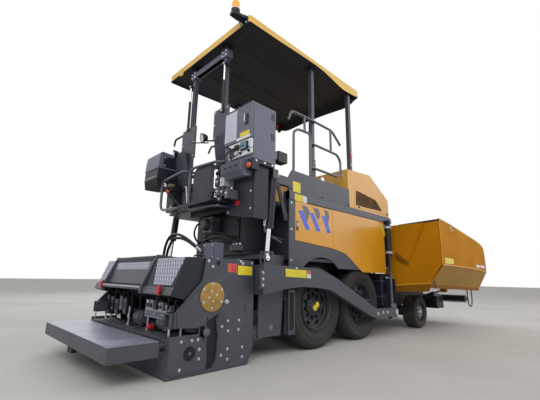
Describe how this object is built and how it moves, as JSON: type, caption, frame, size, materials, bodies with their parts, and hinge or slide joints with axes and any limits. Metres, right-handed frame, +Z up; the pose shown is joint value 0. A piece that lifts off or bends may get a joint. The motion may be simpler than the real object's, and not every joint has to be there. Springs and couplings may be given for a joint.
{
  "type": "asphalt paver",
  "caption": "Wheeled asphalt paver with folding hopper wings, towed extending screed, operator platform with two consoles and a fixed canopy.",
  "frame": {"origin": "middle of the machine's length and width, on the ground", "axes": "+X forward towards the hopper, +Y to the machine's left, +Z up"},
  "size_m": [6.656, 3.41, 3.945],
  "materials": {
    "chassis_paint": "semi gloss, dusty",
    "cast_metal": "matt",
    "yellow_paint": "gloss, dusty",
    "canopy_paint": "semi gloss",
    "grey_paint": "semi gloss, dusty",
    "dark_paint": "semi gloss",
    "console_paint": "satin",
    "rim_paint": "satin, dusty",
    "grille_mesh": "satin",
    "worn_steel": "worn",
    "bright_steel": "polished",
    "tyre_rubber": "matt",
    "solid_rubber": "matt",
    "amber_lens": "gloss"
  },
  "bodies": {
    "tractor": {"chassis": "chassis_paint", "engine_block": "cast_metal", "hood": "yellow_paint", "grilles": "grille_mesh", "side_skirts": "grey_paint", "side_covers": "yellow_paint", "deck": "grey_paint", "handrails": "dark_paint", "canopy_frame": "dark_paint", "canopy_roof": "canopy_paint", "lamps": "amber_lens", "console_r": "console_paint", "console_l": "console_paint", "seat_frames": "dark_paint", "rear_housing": "chassis_paint", "drive_axles": "chassis_paint", "front_axle": "chassis_paint", "hopper_base": "yellow_paint", "conveyor": "worn_steel", "auger_frame": "grey_paint", "tow_guides": "dark_paint"},
    "service_door_r": {"service_door_r": "yellow_paint"},
    "service_door_l": {"service_door_l": "yellow_paint"},
    "console_lid": {"console_lid": "console_paint"},
    "wheel_rear_r": {"tyre_rear_r": "tyre_rubber", "rim_rear_r": "rim_paint"},
    "wheel_rear_l": {"tyre_rear_l": "tyre_rubber", "rim_rear_l": "rim_paint"},
    "wheel_mid_r": {"tyre_mid_r": "tyre_rubber", "rim_mid_r": "rim_paint"},
    "wheel_mid_l": {"tyre_mid_l": "tyre_rubber", "rim_mid_l": "rim_paint"},
    "knuckle_r": {"knuckle_r": "grey_paint"},
    "wheel_front_r": {"front_tyre_r": "solid_rubber", "front_rim_r": "rim_paint"},
    "wing_r": {"wing_r": "yellow_paint"},
    "wing_barrel_r": {"wing_barrel_r": "dark_paint"},
    "wing_rod_r": {"wing_rod_r": "bright_steel"},
    "auger_r": {"auger_r": "worn_steel"},
    "lift_barrel_r": {"lift_barrel_r": "dark_paint"},
    "lift_rod_r": {"lift_rod_r": "bright_steel"},
    "extension_r": {"extension_r": "grey_paint"},
    "knuckle_l": {"knuckle_l": "grey_paint"},
    "wheel_front_l": {"front_tyre_l": "solid_rubber", "front_rim_l": "rim_paint"},
    "wing_l": {"wing_l": "yellow_paint"},
    "wing_barrel_l": {"wing_barrel_l": "dark_paint"},
    "wing_rod_l": {"wing_rod_l": "bright_steel"},
    "auger_l": {"auger_l": "worn_steel"},
    "lift_barrel_l": {"lift_barrel_l": "dark_paint"},
    "lift_rod_l": {"lift_rod_l": "bright_steel"},
    "extension_l": {"extension_l": "grey_paint"},
    "push_beam": {"push_beam": "chassis_paint"},
    "push_rollers": {"push_rollers": "worn_steel"},
    "tow_slides": {"tow_slides": "bright_steel"},
    "tow_pins": {"tow_pins": "bright_steel"},
    "screed": {"tow_arms": "grey_paint", "screed_frame": "dark_paint"}
  },
  "joints": [
    {"name": "wheel_rear_r_spin", "type": "hinge", "parent": "tractor", "child": "wheel_rear_r", "pos_m": [-0.942, -0.785, 0.48], "axis": [0, 1, 0], "continuous": true},
    {"name": "wheel_rear_l_spin", "type": "hinge", "parent": "tractor", "child": "wheel_rear_l", "pos_m": [-0.942, 0.785, 0.48], "axis": [0, 1, 0], "continuous": true},
    {"name": "wheel_mid_r_spin", "type": "hinge", "parent": "tractor", "child": "wheel_mid_r", "pos_m": [0.043, -0.785, 0.48], "axis": [0, 1, 0], "continuous": true},
    {"name": "wheel_mid_l_spin", "type": "hinge", "parent": "tractor", "child": "wheel_mid_l", "pos_m": [0.043, 0.785, 0.48], "axis": [0, 1, 0], "continuous": true},
    {"name": "steer_r", "type": "hinge", "parent": "tractor", "child": "knuckle_r", "pos_m": [1.908, -0.66, 0.272], "axis": [0, 0, 1], "range_deg": [-25, 25]},
    {"name": "wheel_front_r_spin", "type": "hinge", "parent": "knuckle_r", "child": "wheel_front_r", "pos_m": [1.908, -0.855, 0.272], "axis": [0, 1, 0], "continuous": true},
    {"name": "steer_l", "type": "hinge", "parent": "tractor", "child": "knuckle_l", "pos_m": [1.908, 0.66, 0.272], "axis": [0, 0, 1], "range_deg": [-25, 25]},
    {"name": "wheel_front_l_spin", "type": "hinge", "parent": "knuckle_l", "child": "wheel_front_l", "pos_m": [1.908, 0.855, 0.272], "axis": [0, 1, 0], "continuous": true},
    {"name": "wing_r_fold", "type": "hinge", "parent": "tractor", "child": "wing_r", "pos_m": [2.058, -0.64, 0.665], "axis": [-1, 0, 0], "range_deg": [0, 55]},
    {"name": "wing_barrel_r_turn", "type": "hinge", "parent": "tractor", "child": "wing_barrel_r", "pos_m": [2.558, -0.655, 0.44], "axis": [-1, 0, 0], "range_deg": [0, 43]},
    {"name": "wing_rod_r_slide", "type": "slide", "parent": "wing_barrel_r", "child": "wing_rod_r", "axis": [0, -0.9272, 0.3746], "range_m": [0, 0.163]},
    {"name": "wing_l_fold", "type": "hinge", "parent": "tractor", "child": "wing_l", "pos_m": [2.058, 0.64, 0.665], "axis": [1, 0, 0], "range_deg": [0, 55]},
    {"name": "wing_barrel_l_turn", "type": "hinge", "parent": "tractor", "child": "wing_barrel_l", "pos_m": [2.558, 0.655, 0.44], "axis": [1, 0, 0], "range_deg": [0, 43]},
    {"name": "wing_rod_l_slide", "type": "slide", "parent": "wing_barrel_l", "child": "wing_rod_l", "axis": [0, 0.9272, 0.3746], "range_m": [0, 0.163]},
    {"name": "push_beam_swing", "type": "hinge", "parent": "tractor", "child": "push_beam", "pos_m": [3.058, 0, 0.47], "axis": [0, 0, 1], "range_deg": [-4, 4]},
    {"name": "push_rollers_spin", "type": "hinge", "parent": "push_beam", "child": "push_rollers", "pos_m": [3.228, 0, 0.47], "axis": [0, 1, 0], "continuous": true},
    {"name": "auger_r_spin", "type": "hinge", "parent": "tractor", "child": "auger_r", "pos_m": [-1.682, -0.45, 0.3], "axis": [0, 1, 0], "continuous": true},
    {"name": "auger_l_spin", "type": "hinge", "parent": "tractor", "child": "auger_l", "pos_m": [-1.682, 0.45, 0.3], "axis": [0, 1, 0], "continuous": true},
    {"name": "tow_point_slide", "type": "slide", "parent": "tractor", "child": "tow_slides", "axis": [0, 0, 1], "range_m": [-0.05, 0.1]},
    {"name": "tow_arm_tilt", "type": "hinge", "parent": "tow_slides", "child": "tow_pins", "pos_m": [0.818, 0, 0.335], "axis": [0, 1, 0], "range_deg": [-1.6, 0.8]},
    {"name": "screed_lift", "type": "hinge", "parent": "tow_pins", "child": "screed", "pos_m": [0.818, 0, 0.335], "axis": [0, 1, 0], "range_deg": [0, 4]},
    {"name": "lift_barrel_r_turn", "type": "hinge", "parent": "tractor", "child": "lift_barrel_r", "pos_m": [-1.812, -1.005, 1.89], "axis": [0, -1, 0], "range_deg": [0, 3.05]},
    {"name": "lift_rod_r_slide", "type": "slide", "parent": "lift_barrel_r", "child": "lift_rod_r", "axis": [0.084, 0, 0.9965], "range_m": [0, 0.191]},
    {"name": "extension_r_slide", "type": "slide", "parent": "screed", "child": "extension_r", "axis": [0, -1, 0], "range_m": [0, 0.5]},
    {"name": "lift_barrel_l_turn", "type": "hinge", "parent": "tractor", "child": "lift_barrel_l", "pos_m": [-1.812, 1.005, 1.89], "axis": [0, -1, 0], "range_deg": [0, 3.05]},
    {"name": "lift_rod_l_slide", "type": "slide", "parent": "lift_barrel_l", "child": "lift_rod_l", "axis": [0.084, 0, 0.9965], "range_m": [0, 0.191]},
    {"name": "extension_l_slide", "type": "slide", "parent": "screed", "child": "extension_l", "axis": [0, 1, 0], "range_m": [0, 0.5]},
    {"name": "service_door_r_swing", "type": "hinge", "parent": "tractor", "child": "service_door_r", "pos_m": [-0.638, -0.962, 1.47], "axis": [0, 0, 1], "range_deg": [0, 110]},
    {"name": "service_door_l_swing", "type": "hinge", "parent": "tractor", "child": "service_door_l", "pos_m": [-0.638, 0.962, 1.47], "axis": [0, 0, -1], "range_deg": [0, 110]},
    {"name": "console_lid_swing", "type": "hinge", "parent": "tractor", "child": "console_lid", "pos_m": [-2.198, -0.608, 2.4], "axis": [0, 0, -1], "range_deg": [0, 100]}
  ],
  "couplings": [
    {"joint": "steer_l", "follows": "steer_r", "ratio": 1},
    {"joint": "wing_barrel_r_turn", "follows": "wing_r_fold", "ratio": 0.77507},
    {"joint": "wing_rod_r_slide", "follows": "wing_r_fold", "m_per_rad": 0.16837},
    {"joint": "wing_barrel_l_turn", "follows": "wing_l_fold", "ratio": 0.77507},
    {"joint": "wing_rod_l_slide", "follows": "wing_l_fold", "m_per_rad": 0.16837},
    {"joint": "tow_arm_tilt", "follows": "tow_point_slide", "rad_per_m": -0.271},
    {"joint": "lift_barrel_r_turn", "follows": "screed_lift", "ratio": 0.75561},
    {"joint": "lift_rod_r_slide", "follows": "screed_lift", "m_per_rad": 2.7198},
    {"joint": "lift_barrel_l_turn", "follows": "screed_lift", "ratio": 0.75561},
    {"joint": "lift_rod_l_slide", "follows": "screed_lift", "m_per_rad": 2.7198}
  ]
}
